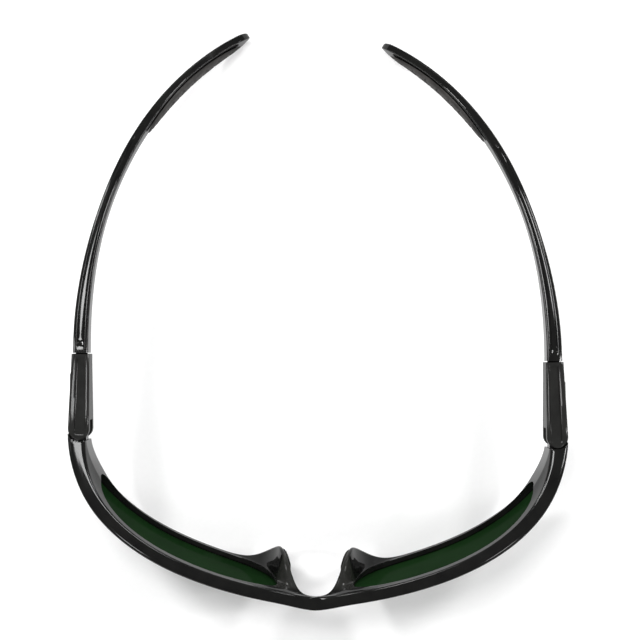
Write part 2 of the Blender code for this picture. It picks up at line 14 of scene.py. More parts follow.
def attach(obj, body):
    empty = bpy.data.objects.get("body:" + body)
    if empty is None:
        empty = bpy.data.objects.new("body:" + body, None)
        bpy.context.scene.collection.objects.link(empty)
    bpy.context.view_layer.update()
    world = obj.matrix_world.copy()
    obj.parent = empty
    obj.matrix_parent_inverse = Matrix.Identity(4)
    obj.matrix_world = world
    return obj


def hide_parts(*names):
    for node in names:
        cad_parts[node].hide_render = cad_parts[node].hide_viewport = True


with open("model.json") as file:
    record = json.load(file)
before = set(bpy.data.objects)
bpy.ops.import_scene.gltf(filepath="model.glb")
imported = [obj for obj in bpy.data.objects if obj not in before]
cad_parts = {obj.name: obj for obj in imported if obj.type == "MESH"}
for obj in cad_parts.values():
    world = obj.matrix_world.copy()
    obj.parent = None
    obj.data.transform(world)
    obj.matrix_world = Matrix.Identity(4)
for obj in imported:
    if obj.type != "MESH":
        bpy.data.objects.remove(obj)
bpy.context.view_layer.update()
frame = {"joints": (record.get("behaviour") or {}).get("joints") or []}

MM = 0.001

# ---- Sizes of the design, the same as the frame's ------------------------------------------------
FRONT_HALF_WIDTH = 72.5
OVERALL_DEPTH = 170.0
WRAP_DEPTH = 50.0
BRIDGE_SLOPE = 0.14
BRIDGE_ROUNDING = 3.0
BRIDGE_FORWARD = 1.05
FRONT_LEAN = 2.8
BROW_TOP = 41.2
BRIDGE_TOP = 37.2
NOSE_ARCH_TOP = 27.6
END_PIECE_LENGTH = 16.5
END_PIECE_DEPTH = 5.2
END_PIECE_TOP = 36.4
END_PIECE_BOTTOM = 22.6
NOSE_RIM_START = 12.4
LENS_TOP = 37.2
LENS_BOTTOM = 2.7
LENS_THICKNESS = 1.7
GROOVE_DEPTH = 1.3
GROOVE_FRONT = 0.7
GROOVE_WALL = 0.8
FIT_GAP = 0.3
WING_THICKNESS = 1.5
NOSE_PAD_THICKNESS = 1.7
EDGE_ROUNDING = 0.7
FOOT_CUT = 0.4
BASE_HALF_WIDTH = 3.1
BASE_REAR_HALF_WIDTH = 2.6
BASE_LENGTH = 21.7
BASE_REAR_HEIGHT = 10.0
TONGUE_HEIGHT = 6.8
TONGUE_HALF_WIDTH = 2.0
SCREW_RADIUS = 0.9
SCREW_HEAD_RADIUS = 1.7
SCREW_HEAD_HEIGHT = 1.1
SCREW_ROOF = 1.4
SOCKET_LENGTH = 9.0
PLATE_LENGTH = 11.0
PLATE_HEIGHT = 6.4
PLATE_THICKNESS = 0.7
PLATE_POCKET = 0.9
ARM_HEIGHT = 9.4
ARM_MIDDLE_HEIGHT = 6.2
ARM_TIP_HEIGHT = 9.0
ARM_THICKNESS = 4.5
ARM_MIDDLE_THICKNESS = 3.0
ARM_TIP_THICKNESS = 2.2
TIP_HALF_SPACING = 23.2
TIP_END_HEIGHT = 2.0
TIP_LEAN = 4.0
LEFT_REST_FOLD = 2.7
TIP_PAD_THICKNESS = 0.9
TIP_PAD_HEIGHT = 6.6

# ---- Fineness of the shells ----------------------------------------------------------------------
SPAN_STEPS = 8
FACE_STEPS = 6
ARC_STEPS = 6
WEB_HALF_WIDTH = 10.7      # of the nose web that is painted lighter as a painted reflection, where the nose pads are
WEB_SLANT = 0.28           # how fast the web widens towards the brow
SATIN_ROUGHNESS = 0.5
BROW_ROUNDING = 1.6
LENS_EDGE_INSET = 0.3
LENS_EDGE_DEPTH = 0.35
LENS_EDGE_MIDDLE = 0.1
ARM_SECTIONS = 150
ARM_TIP_START = 0.955      # share of an arm's path where its round end starts
ARM_TIP_REACH = 0.0385     # share of the path that the round end takes
PAD_START = 0.62           # shares of an arm's path that the tip pad covers
PAD_END = 0.965
PAD_SEGMENT = 5.2
PAD_GROOVE_DEPTH = 0.4
PAD_GROOVE_WIDTH = 0.3

FRONT_Y = -OVERALL_DEPTH / 2
TIP_Y = OVERALL_DEPTH / 2
SHOULDER_Y = FRONT_Y + WRAP_DEPTH
LEFT_HINGE = next(j for j in frame["joints"] if j["name"] == "temple_left_fold")["pos_m"]
HINGE_X, HINGE_Y, HINGE_Z = (value / MM for value in LEFT_HINGE)
LENS_FRONT = GROOVE_FRONT + FIT_GAP
LENS_BACK = LENS_FRONT + LENS_THICKNESS
GROOVE_BACK = LENS_BACK + FIT_GAP
SIDES = (("left", False), ("right", True))


# ---- Curves --------------------------------------------------------------------------------------
def bezier(points, t):
    """Points of a cubic curve at the values t."""
    p = np.array(points, float)
    t = np.asarray(t, float)[..., None]
    return (1 - t) ** 3 * p[0] + 3 * (1 - t) ** 2 * t * p[1] + 3 * (1 - t) * t * t * p[2] + t ** 3 * p[3]


def spline(points, steps, closed=False, before=None, after=None):
    """Even-curvature spline steered by rows of numbers, with the given steps for each row.

    An open curve starts and ends on its end rows, unless the rows before and after steer its ends.
    """
    rows = np.array(points, float)
    count = len(rows)
    first = 2 * rows[0] - rows[1] if before is None else np.array(before)
    last = 2 * rows[-1] - rows[-2] if after is None else np.array(after)
    result = []
    for i in range(count if closed else count - 1):
        a, b, c, d = (rows[(i + k) % count] for k in (-1, 0, 1, 2))
        if not closed:
            a = a if i > 0 else first
            d = d if i + 2 < count else last
        for k in range(steps):
            t = k / steps
            result.append((a * (1 - t) ** 3 + b * (3 * t ** 3 - 6 * t * t + 4)
                           + c * (3 * t * t + 3 * t + 1 - 3 * t ** 3) + d * t ** 3) / 6)
    if not closed:
        result.append((rows[-2] + 4 * rows[-1] + last) / 6)
    return np.array(result)


def smooth_step(value):
    value = np.clip(value, 0, 1)
    return value * value * (3 - 2 * value)


def brow_line():
    """Plan of the front's outer face: its points, its outward directions and its running length."""
    t = np.linspace(0, 1, 2401)
    start = FRONT_Y - BRIDGE_SLOPE * BRIDGE_ROUNDING
    plan = bezier([(0, start), (27.5, start + 27.5 * BRIDGE_SLOPE),
                   (FRONT_HALF_WIDTH, start + 0.28 * WRAP_DEPTH),
                   (FRONT_HALF_WIDTH, SHOULDER_Y)], t)
    x = plan[:, 0]
    plan[:, 1] += BRIDGE_SLOPE * (np.sqrt(x * x + BRIDGE_ROUNDING ** 2) - x)
    tangent = np.gradient(plan, axis=0)
    tangent[0] = (1, 0)
    tangent[-1] = (0, 1)
    tangent /= np.linalg.norm(tangent, axis=1)[:, None]
    outward = np.stack([tangent[:, 1], -tangent[:, 0]], axis=1)
    steps = np.linalg.norm(np.diff(plan, axis=0), axis=1)
    return plan, outward, np.concatenate([[0], np.cumsum(steps)])


PLAN, OUTWARD, RUN = brow_line()
BAND_LENGTH = RUN[-1]
LENS_END = BAND_LENGTH - END_PIECE_LENGTH


def band_point(run, height, depth):
    """Point of the front: run along the brow line, height above the table, depth behind its face."""
    upright = smooth_step((BAND_LENGTH - run) / END_PIECE_LENGTH)
    back = depth + FRONT_LEAN * (1 - height / BROW_TOP) * upright
    x = np.interp(run, RUN, PLAN[:, 0]) - np.interp(run, RUN, OUTWARD[:, 0]) * back
    y = np.interp(run, RUN, PLAN[:, 1]) - np.interp(run, RUN, OUTWARD[:, 1]) * back
    return (x, y, height)


# ---- Mesh helpers --------------------------------------------------------------------------------
def mesh_from(points, faces):
    """bmesh of millimetre points, with its faces turned outward."""
    mesh = bmesh.new()
    verts = [mesh.verts.new(p) for p in points]
    for face in faces:
        mesh.faces.new([verts[i] for i in face])
    bmesh.ops.recalc_face_normals(mesh, faces=mesh.faces)
    return mesh


def tube_faces(rings, size, closed):
    """Quads between rings of points that are stored one after another."""
    faces = []
    for r in range(rings if closed else rings - 1):
        for k in range(size):
            a, b = r * size, (r + 1) % rings * size
            faces.append((a + k, a + (k + 1) % size, b + (k + 1) % size, b + k))
    return faces


def capped_tube(rings):
    """Closed solid lofted through the rings."""
    size = len(rings[0])
    points = [tuple(p) for ring in rings for p in ring]
    faces = tube_faces(len(rings), size, False)
    faces.append(tuple(range(size)))
    faces.append(tuple(range(len(points) - size, len(points))))
    return mesh_from(points, faces)


def box(low, high):
    x0, y0, z0 = low
    x1, y1, z1 = high
    return capped_tube([[(x, y0, z0), (x, y1, z0), (x, y1, z1), (x, y0, z1)] for x in (x0, x1)])


def turned(profile, sides, centre):
    """Solid turned about an upright axis, from (radius, height) pairs."""
    rings = []
    for radius, z in profile:
        angles = [2 * math.pi * k / sides for k in range(sides)]
        rings.append([(centre[0] + radius * math.cos(a), centre[1] + radius * math.sin(a), z)
                      for a in angles])
    return capped_tube(rings)


def add_piece(name, mesh, mirrored=False, smooth_angle=40):
    """Object with its origin at the frame's origin, from a millimetre bmesh."""
    if mirrored:
        bmesh.ops.scale(mesh, vec=(-1, 1, 1), verts=mesh.verts)
        bmesh.ops.reverse_faces(mesh, faces=mesh.faces)
    bmesh.ops.scale(mesh, vec=(MM, MM, MM), verts=mesh.verts)
    data = bpy.data.meshes.new(name)
    mesh.to_mesh(data)
    mesh.free()
    data.shade_smooth()
    data.set_sharp_from_angle(angle=math.radians(smooth_angle))
    piece = bpy.data.objects.new(name, data)
    bpy.context.scene.collection.objects.link(piece)
    return piece


def keep_result(piece):
    """Make the piece's modifiers part of its mesh."""
    bpy.context.view_layer.update()
    evaluated = piece.evaluated_get(bpy.context.evaluated_depsgraph_get())
    result = bpy.data.meshes.new_from_object(evaluated)
    piece.modifiers.clear()
    old = piece.data
    piece.data = result
    bpy.data.meshes.remove(old)


def combine(piece, tool_mesh, operation, mirrored=False):
    """Cut or join a millimetre bmesh to a piece."""
    tool = add_piece("tool", tool_mesh, mirrored)
    boolean = piece.modifiers.new("shape", "BOOLEAN")
    boolean.operation = operation
    boolean.object = tool
    keep_result(piece)
    bpy.data.objects.remove(tool, do_unlink=True)


def soften(piece, width, segments, angle):
    """Round a piece's sharp edges and keep its wide faces flat to the light."""
    bevel = piece.modifiers.new("edges", "BEVEL")
    bevel.width = width * MM
    bevel.segments = segments
    bevel.limit_method = "ANGLE"
    bevel.angle_limit = math.radians(angle)
    bevel.miter_outer = "MITER_ARC"
    even_light(piece)


def even_light(piece):
    """Weigh the shading of a piece by the size of its faces."""
    weighted = piece.modifiers.new("normals", "WEIGHTED_NORMAL")
    weighted.keep_sharp = True
    weighted.weight = 60


# ---- Front ---------------------------------------------------------------------------------------
def rim_stations():
    """Matched points of the front's outline and of the lens opening, all the way round one side.

    A row holds: outline run, outline height, opening run, opening height, front depth, back depth,
    wing depth and wing shift away from the nose.
    """
    end = BAND_LENGTH
    lens = LENS_END
    nose = NOSE_RIM_START
    top = LENS_TOP
    low = LENS_BOTTOM
    brow_run = [
        (0, BRIDGE_TOP, nose + 0.4, top - 4.6, -BRIDGE_FORWARD, 3.1, 0, 0),
        (7, BRIDGE_TOP + 0.9, nose + 3.6, top - 1.4, -0.1, 3.3, 0, 0),
        (17, BROW_TOP - 1.0, nose + 10.5, top - 0.2, 0, 3.7, 0, 0),
        (33, BROW_TOP + 0.1, nose + 22.0, top + 0.2, 0, 3.9, 0, 0),
        (50, BROW_TOP - 0.2, lens - 29, top, 0, 4.0, 0, 0),
        (66, BROW_TOP - 1.6, lens - 15.5, top - 1.3, 0, 4.1, 0, 0),
        (end - 15, END_PIECE_TOP + 1.7, lens - 5.5, top - 4, 0, 4.2, 0, 0),
        (end, END_PIECE_TOP, lens - 0.6, top - 8, 0, END_PIECE_DEPTH, 0, 0)]
    hinge_run = [
        (end, HINGE_Z + 2.2, lens + 0.6, top - 12, 0, END_PIECE_DEPTH, 0, 0),
        (end, HINGE_Z - 2.2, lens + 0.2, top - 15.4, 0, END_PIECE_DEPTH, 0, 0)]
    lower_run = [
        (end, END_PIECE_BOTTOM, lens - 1.6, low + 15.6, 0, END_PIECE_DEPTH, 0, 0),
        (end - 11, END_PIECE_BOTTOM - 3.2, lens - 5.6, low + 11, 0, 4.9, 0, 0),
        (end - 24, END_PIECE_BOTTOM - 12.0, lens - 12.5, low + 6.0, 0.2, 4.4, 0, 0),
        (62, 3.8, lens - 21, low + 2.4, 0.2, 4.3, 0, 0),
        (47, 0.3, nose + 33, low + 0.2, 0.2, 4.3, 0, 0),
        (33, -FOOT_CUT, nose + 21, low - 0.2, 0.2, 4.3, 0, 0),
        (22.5, 1.0, nose + 12, low + 1.4, 0.2, 4.3, 0, 0),
        (16.6, 5.0, nose + 6.0, low + 5.8, 0.2, 4.4, 4.4, 0.4),
        (13.4, 12.5, nose + 2.4, low + 12, 0.1, 4.2, 8.2, 0.8),
        (11.6, 19.5, nose + 0.6, low + 18, -0.2, 3.6, 9.6, 1.2),
        (9.6, NOSE_ARCH_TOP - 3.0, nose - 0.3, low + 23, -0.7, 2.6, 8.6, 0.6),
        (5.6, NOSE_ARCH_TOP + 0.2, nose - 0.3, low + 26.6, -1.1, 1.6, 0.4, 0.2),
        (0, NOSE_ARCH_TOP, nose, low + 28.8, -1.3, 1.4, 0, 0)]
    return brow_run, hinge_run, lower_run


def rim_rows(steps):
    """The stations with smooth rows between them, in order round the lens opening."""
    brow_run, hinge_run, lower_run = rim_stations()
    opening = spline(brow_run + hinge_run + lower_run, steps, closed=True)
    across = np.array([-1, 1, 1, 1, 1, 1, 1, 1])
    top = spline(brow_run, steps, before=brow_run[1] * across)
    face = spline([brow_run[-1]] + hinge_run + [lower_run[0]], steps)
    bottom = spline(lower_run, steps, after=lower_run[-2] * across)
    bridge = np.linspace(bottom[-1], top[0], steps + 1)
    rows = np.concatenate([top[:-1], face[:-1], bottom[:-1], bridge[:-1]])
    rows[:, 2:4] = opening[:, 2:4]
    return rows


def corner_arc(before, corner, after, radius):
    """Points of a round corner between its two neighbours, never longer than the room it has."""
    before, corner, after = (np.array(point, float) for point in (before, corner, after))
    back = before - corner
    ahead = after - corner
    room = 0.45 * min(np.linalg.norm(back), np.linalg.norm(ahead))
    reach = min(radius, room)
    start = corner + back / np.linalg.norm(back) * reach
    end = corner + ahead / np.linalg.norm(ahead) * reach
    shares = np.linspace(0, 1, ARC_STEPS + 1)[:, None]
    return (1 - shares) ** 2 * start + 2 * shares * (1 - shares) * corner + shares ** 2 * end


def rim_section(row):
    """Outline of the rim at one row, as run, height and depth of each point, with round edges."""
    start = np.array(row[2:4])
    reach = np.array(row[0:2]) - start
    width = np.linalg.norm(reach)
    direction = reach / width
    front, back, wing, shift = row[4:8]
    lens_back = max(back, GROOVE_BACK + GROOVE_WALL)
    winged = smooth_step(wing / 3.0)
    rear = back + wing
    rear_edge = width - shift * smooth_step(row[0] / 5.0)
    inner_edge = (1 - winged) * 0.75 * width + winged * (rear_edge - WING_THICKNESS)
    root = (1 - winged) * 0.5 * width + winged * max(width - WING_THICKNESS - 0.9, 0.2 * width)
    near = min(0.25 * width, 0.5 * root)
    root_back = max(back, lens_back * winged)
    on_brow = smooth_step((row[1] - NOSE_ARCH_TOP - 3) / 4)
    clear_of_middle = smooth_step(row[0] / 2.5)
    clear_of_hinge = smooth_step((BAND_LENGTH - row[0]) / 3)
    radius = (EDGE_ROUNDING + (BROW_ROUNDING - EDGE_ROUNDING) * on_brow) * (0.25 + 0.75 * clear_of_hinge)
    radius *= 0.02 + 0.98 * clear_of_middle
    lens_corner = (0, front)
    outer_front = (width, front)
    outer_rear = (rear_edge, rear)
    inner_rear = (inner_edge, rear)
    swell = (root + 0.4 * (inner_edge - root), back + 0.35 * (rear - back))
    front_arc = corner_arc(lens_corner, outer_front, outer_rear, radius)
    rear_arc = corner_arc(outer_front, outer_rear, inner_rear, radius)
    inner_arc = corner_arc(outer_rear, inner_rear, swell, EDGE_ROUNDING * (0.02 + 0.98 * clear_of_middle))
    corners = [tuple(point) for point in np.linspace(lens_corner, front_arc[0], FACE_STEPS + 1)[:-1]]
    corners += [tuple(point) for point in front_arc]
    corners += [tuple(point) for point in np.linspace(front_arc[-1], rear_arc[0], 4)[1:-1]]
    corners += [tuple(point) for point in rear_arc]
    corners += [tuple(point) for point in inner_arc]
    inside = bezier([inner_arc[-1], swell, (root, root_back), (near, lens_back)],
                    np.linspace(0, 1, FACE_STEPS + 1))
    corners += [tuple(point) for point in inside[1:]]
    corners += [(0, lens_back), (0, GROOVE_BACK), (GROOVE_DEPTH, GROOVE_BACK),
                (GROOVE_DEPTH, GROOVE_FRONT), (0, GROOVE_FRONT)]
    return [(*(start + direction * a), d) for a, d in corners]


def front_shell():
    """Both sides of the front, welded at the bridge."""
    sections = [rim_section(row) for row in rim_rows(SPAN_STEPS)]
    size = len(sections[0])
    corners = [corner for section in sections for corner in section]
    points = [band_point(*corner) for corner in corners]
    points = [(0.0, y, z) if abs(corner[0]) < 1e-6 else (x, y, z)
              for (x, y, z), corner in zip(points, corners)]
    faces = [face for face in tube_faces(len(sections), size, True)
             if not all(abs(points[i][0]) < 1e-9 for i in face)]
    count = len(points)
    mirrored = [(-x, y, z) for x, y, z in points]
    mesh = mesh_from(points + mirrored, faces + [tuple(count + i for i in reversed(f)) for f in faces])
    lonely = [v for v in mesh.verts if not v.link_faces]
    middle = [v for v in mesh.verts if abs(v.co.x) < 1e-6 and v.link_faces]
    bmesh.ops.remove_doubles(mesh, verts=middle, dist=0.001)
    bmesh.ops.delete(mesh, geom=lonely, context="VERTS")
    bmesh.ops.recalc_face_normals(mesh, faces=mesh.faces)
    return mesh


def tongue(low, high):
    """Hinge tongue: straight sides rooted in the end piece and a round end about the screw."""
    root = HINGE_Y - BASE_HALF_WIDTH - 1.6
    outline = [(HINGE_X - TONGUE_HALF_WIDTH, root), (HINGE_X + TONGUE_HALF_WIDTH, root)]
    for k in range(25):
        angle = math.pi * k / 24
        outline.append((HINGE_X + TONGUE_HALF_WIDTH * math.cos(angle),
                        HINGE_Y + TONGUE_HALF_WIDTH * math.sin(angle)))
    return capped_tube([[(x, y, z) for x, y in outline] for z in (low, high)])


def make_front():
    """Fine front: the CAD front's shape with round edges, tongues and screw holes."""
    front = add_piece("front_shell", front_shell())
    prong_room = BASE_HALF_WIDTH + FIT_GAP
    tongue_low = HINGE_Z - TONGUE_HEIGHT / 2
    tongue_high = HINGE_Z + TONGUE_HEIGHT / 2
    axis = (HINGE_X, HINGE_Y)
    combine(front, box((-FRONT_HALF_WIDTH, FRONT_Y, -3), (FRONT_HALF_WIDTH, HINGE_Y, 0)), "DIFFERENCE")
    for _, mirrored in SIDES:
        round_room = [(prong_room, END_PIECE_BOTTOM - 5), (prong_room, END_PIECE_TOP + 5)]
        combine(front, turned(round_room, 64, axis), "DIFFERENCE", mirrored)
        combine(front, box((HINGE_X - 9, HINGE_Y - prong_room, END_PIECE_BOTTOM - 5),
                           (HINGE_X, HINGE_Y + 3, END_PIECE_TOP + 5)), "DIFFERENCE", mirrored)
        combine(front, tongue(tongue_low, tongue_high), "UNION", mirrored)
        hole = SCREW_RADIUS + FIT_GAP
        combine(front, turned([(hole, tongue_low - 1), (hole, tongue_high + 1)], 32, axis),
                "DIFFERENCE", mirrored)
    return front


# ---- Lenses and nose pads ------------------------------------------------------------------------
def lens_mesh():
    """Curved sheet with round edges that stands in the groove with the fitting gap."""
    rows = rim_rows(SPAN_STEPS)
    start = rows[:, 2:4]
    direction = rows[:, 0:2] - start
    direction /= np.linalg.norm(direction, axis=1)[:, None]
    outline = start + direction * (GROOVE_DEPTH - FIT_GAP)
    centre = outline.mean(axis=0)
    count = len(outline)
    points = []
    layers = [(LENS_EDGE_INSET, LENS_FRONT),
              (LENS_EDGE_MIDDLE, LENS_FRONT + LENS_EDGE_MIDDLE),
              (0.0, LENS_FRONT + LENS_EDGE_DEPTH)]
    layers += [(inset, LENS_FRONT + LENS_BACK - depth) for inset, depth in reversed(layers)]
    for inset, depth in layers:
        ring = outline - direction * inset
        points += [band_point(run, height, depth) for run, height in ring]
    faces = tube_faces(len(layers), count, False)
    rim = outline - direction * LENS_EDGE_INSET
    for edge_layer, depth in ((0, LENS_FRONT), (len(layers) - 1, LENS_BACK)):
        previous = edge_layer * count
        for share in np.linspace(1, 0, 15)[1:-1]:
            base = len(points)
            points += [band_point(run, height, depth) for run, height in centre + (rim - centre) * share]
            faces += [(previous + k, previous + (k + 1) % count, base + (k + 1) % count, base + k)
                      for k in range(count)]
            previous = base
        points.append(band_point(*centre, depth))
        faces += [(previous + k, previous + (k + 1) % count, len(points) - 1) for k in range(count)]
    return mesh_from(points, faces)


def nose_pad_mesh():
    """Soft strip on the nose side of the wing, with a round outer face."""
    bottom_station = 17    # counted along all the rim stations
    top_station = 20
    steps = SPAN_STEPS * 2
    rows = rim_rows(steps)[bottom_station * steps:top_station * steps + 1]
    rings = []
    for index, row in enumerate(rows):
        share = index / (len(rows) - 1)
        swell = NOSE_PAD_THICKNESS * (0.35 + 0.65 * math.sin(math.pi * share))
        start = np.array(row[2:4])
        reach = np.array(row[0:2]) - start
        width = np.linalg.norm(reach)
        front = row[4] + 2.4
        rear = row[5] + row[6] - 0.5
        slant = row[7] * smooth_step(row[0] / 5.0) / (row[5] + row[6] - row[4])
        wing_side = width + slant * row[4] + FIT_GAP
        outline = []
        for k in range(9):
            depth = front + (rear - front) * k / 8
            outline.append((wing_side - slant * depth, depth))
        for k in range(17):
            angle = math.pi * k / 16
            depth = (front + rear) / 2 + (rear - front) / 2 * math.cos(angle) * 0.98
            lift = swell * (0.14 + 0.86 * math.sin(angle) ** 0.5)
            outline.append((wing_side - slant * depth + lift, depth))
        rings.append([band_point(*(start + reach / width * a), d) for a, d in outline])
    return capped_tube(rings)


# ---- Temples -------------------------------------------------------------------------------------
def base_half_width(y):
    """Half the plan width of a temple base, whose front end is round about the hinge."""
    if y < HINGE_Y:
        return math.sqrt(max(BASE_HALF_WIDTH ** 2 - (y - HINGE_Y) ** 2, 0.01))
    return BASE_HALF_WIDTH + (BASE_REAR_HALF_WIDTH - BASE_HALF_WIDTH) * (y - HINGE_Y) / BASE_LENGTH


def base_half_height(y):
    share = smooth_step((y - HINGE_Y) / BASE_LENGTH)
    full = (END_PIECE_TOP - END_PIECE_BOTTOM) / 2
    return full + (BASE_REAR_HEIGHT / 2 - full) * share


def section_outline(half_width, half_height, radius, top_profile):
    """Outline about the origin with round corners and the same worked profile above and below.

    The profile holds pairs: place across the width from -1 to 1, and depth below the flat.
    """
    radius = min(radius, half_width * 0.45, half_height * 0.9)
    flat = half_width - radius
    outline = []
    arc = [(radius * math.cos(a), half_height - radius + radius * math.sin(a))
           for a in np.linspace(0, math.pi / 2, 6)]
    for sign in (1, -1):
        outline += [(sign * (flat + out), sign * up) for out, up in arc]
        for place, depth in (top_profile if sign > 0 else reversed(top_profile)):
            outline.append((place * flat, sign * (half_height - depth)))
        outline += [(-sign * (flat + out), sign * up) for out, up in reversed(arc)]
    return outline


def base_profile(relief):
    """Top of a base across its width: a sunken inner panel beside a narrow ridge on the outer side."""
    return [(0.62, 0.0), (0.54, 0.1 * relief), (0.46, relief), (0.36, relief), (-0.72, 0.6 * relief),
            (-0.8, 0.5 * relief), (-0.88, 0.0)]


def base_mesh():
    """Body of a temple base, round about the hinge, with its worked top and bottom."""
    rear = HINGE_Y + BASE_LENGTH
    arc = np.linspace(90, 0, 14)[:-1]
    stations = [HINGE_Y - BASE_HALF_WIDTH * math.sin(math.radians(angle)) for angle in arc]
    stations += list(np.linspace(HINGE_Y, rear, 45))
    rings = []
    for y in stations:
        relief = 0.6 * smooth_step((y - HINGE_Y + 1.6) / 1.2) * smooth_step((rear - 0.8 - y) / 0.9)
        outline = section_outline(base_half_width(y), base_half_height(y), 0.7, base_profile(relief))
        rings.append([(HINGE_X + x, y, HINGE_Z + z) for x, z in outline])
    return capped_tube(rings)


def spigot(growth, rear):
    """Block on the arm's front end that fills the base's socket."""
    front = HINGE_Y + BASE_LENGTH - SOCKET_LENGTH - growth
    half_width = BASE_REAR_HALF_WIDTH - 1.1 + growth
    half_height = BASE_REAR_HEIGHT / 2 - 2.2 + growth
    return box((HINGE_X - half_width, front, HINGE_Z - half_height),
               (HINGE_X + half_width, rear, HINGE_Z + half_height))


def plate_place():
    """Corners of the blank side plate, which stands a little proud of the base's outer face."""
    middle = HINGE_Y + 10.5
    outer = HINGE_X + base_half_width(middle - PLATE_LENGTH / 2)
    inner = outer - PLATE_POCKET + FIT_GAP
    return ((inner, middle - PLATE_LENGTH / 2, HINGE_Z - PLATE_HEIGHT / 2),
            (inner + PLATE_THICKNESS, middle + PLATE_LENGTH / 2, HINGE_Z + PLATE_HEIGHT / 2))


def make_base(name, mirrored):
    """Fine temple base: the hinge fork, the screw's holes, the arm's socket and the plate's pocket."""
    base = add_piece(name, base_mesh(), mirrored)
    axis = (HINGE_X, HINGE_Y)
    rear = HINGE_Y + BASE_LENGTH
    slot = TONGUE_HEIGHT / 2 + FIT_GAP
    reach = BASE_HALF_WIDTH + 2
    combine(base, box((HINGE_X - reach, HINGE_Y - reach, HINGE_Z - slot),
                      (HINGE_X + reach, HINGE_Y + TONGUE_HALF_WIDTH + 2 * FIT_GAP, HINGE_Z + slot)),
            "DIFFERENCE", mirrored)
    hole = SCREW_RADIUS + FIT_GAP
    head_room = END_PIECE_BOTTOM + SCREW_HEAD_HEIGHT + 2 * FIT_GAP
    combine(base, turned([(hole, END_PIECE_BOTTOM - 1), (hole, END_PIECE_TOP - SCREW_ROOF)], 40, axis),
            "DIFFERENCE", mirrored)
    head_hole = SCREW_HEAD_RADIUS + FIT_GAP
    combine(base, turned([(head_hole, END_PIECE_BOTTOM - 1), (head_hole, head_room)], 48, axis),
            "DIFFERENCE", mirrored)
    combine(base, spigot(FIT_GAP, rear + 1), "DIFFERENCE", mirrored)
    low, high = plate_place()
    pocket_low = [value - FIT_GAP for value in low]
    pocket_high = [high[0] + 1.5, high[1] + FIT_GAP, high[2] + FIT_GAP]
    combine(base, box(pocket_low, pocket_high), "DIFFERENCE", mirrored)
    return base


def screw_mesh():
    """Hinge screw with its head at the bottom."""
    bottom = END_PIECE_BOTTOM + FIT_GAP
    shoulder = bottom + SCREW_HEAD_HEIGHT
    top = END_PIECE_TOP - SCREW_ROOF - 2 * FIT_GAP
    profile = [(SCREW_HEAD_RADIUS - 0.35, bottom), (SCREW_HEAD_RADIUS - 0.1, bottom + 0.12),
               (SCREW_HEAD_RADIUS, bottom + 0.35), (SCREW_HEAD_RADIUS, shoulder - 0.1),
               (SCREW_HEAD_RADIUS - 0.1, shoulder), (SCREW_RADIUS, shoulder + 0.02)]
    turns = 14
    for k in range(turns):
        z = shoulder + 0.4 + (top - shoulder - 1.0) * k / turns
        profile += [(SCREW_RADIUS, z), (SCREW_RADIUS - 0.08, z + 0.2)]
    profile += [(SCREW_RADIUS, top - 0.4), (SCREW_RADIUS - 0.35, top)]
    return turned(profile, 48, (HINGE_X, HINGE_Y))


def make_screw(name, mirrored):
    """Hinge screw with a driver slot across its head."""
    screw = add_piece(name, screw_mesh(), mirrored)
    bottom = END_PIECE_BOTTOM + FIT_GAP
    slot = box((HINGE_X - 2.5, HINGE_Y - 0.2, bottom - 1), (HINGE_X + 2.5, HINGE_Y + 0.2, bottom + 0.5))
    combine(screw, slot, "DIFFERENCE", mirrored)
    return screw


def arm_path(t):
    """Centre line of an arm, from the base to the tip."""
    start = HINGE_Y + BASE_LENGTH + FIT_GAP
    reach = TIP_Y - start
    return bezier([(HINGE_X, start, HINGE_Z),
                   (HINGE_X + 1.0, start + 0.37 * reach, HINGE_Z - 0.6),
                   (HINGE_X - 12.6, start + 0.79 * reach, HINGE_Z - 2.0),
                   (TIP_HALF_SPACING, TIP_Y - 1.0, TIP_END_HEIGHT)], t)


def arm_frame(t):
    """Centre, inward direction and upward direction of an arm's section."""
    step = 0.002
    centre = arm_path(t)
    ahead = arm_path(min(t + step, 1)) - arm_path(max(t - step, 0))
    ahead /= np.linalg.norm(ahead)
    inward = np.cross((0, 0, 1), ahead)
    inward /= np.linalg.norm(inward)
    up = np.cross(ahead, inward)
    lean = math.radians(TIP_LEAN) * smooth_step((t - 0.3) / 0.5)
    return (centre, inward * math.cos(lean) + up * math.sin(lean),
            up * math.cos(lean) - inward * math.sin(lean))


def arm_size(t):
    """Half thickness and half height of an arm."""
    if t < 0.5:
        share = smooth_step(t / 0.42)
        thickness = ARM_THICKNESS + (ARM_MIDDLE_THICKNESS - ARM_THICKNESS) * share
        height = ARM_HEIGHT + (ARM_MIDDLE_HEIGHT - ARM_HEIGHT) * share
    else:
        share = smooth_step((t - 0.5) / 0.35)
        thickness = ARM_MIDDLE_THICKNESS + (ARM_TIP_THICKNESS - ARM_MIDDLE_THICKNESS) * share
        height = ARM_MIDDLE_HEIGHT + (ARM_TIP_HEIGHT - ARM_MIDDLE_HEIGHT) * share
    return thickness / 2, height / 2


def arm_profile(relief):
    """Top of an arm across its thickness: two narrow ridges with a shallow channel between them."""
    return [(0.9, 0.0), (0.7, 0.15 * relief), (0.52, relief), (0.0, 1.15 * relief), (-0.52, relief),
            (-0.7, 0.15 * relief), (-0.9, 0.0)]


def arm_ring(t, share):
    """Section of an arm at t, with its height and part of its thickness scaled by the share."""
    centre, inward, up = arm_frame(t)
    half_thickness, half_height = arm_size(t)
    relief = 0.5 * smooth_step((t - 0.015) / 0.02) * smooth_step((0.62 - t) / 0.1)
    outline = section_outline(half_thickness * (0.4 + 0.6 * share), half_height * share, 0.9,
                              arm_profile(relief))
    return [centre + inward * x + up * z for x, z in outline]


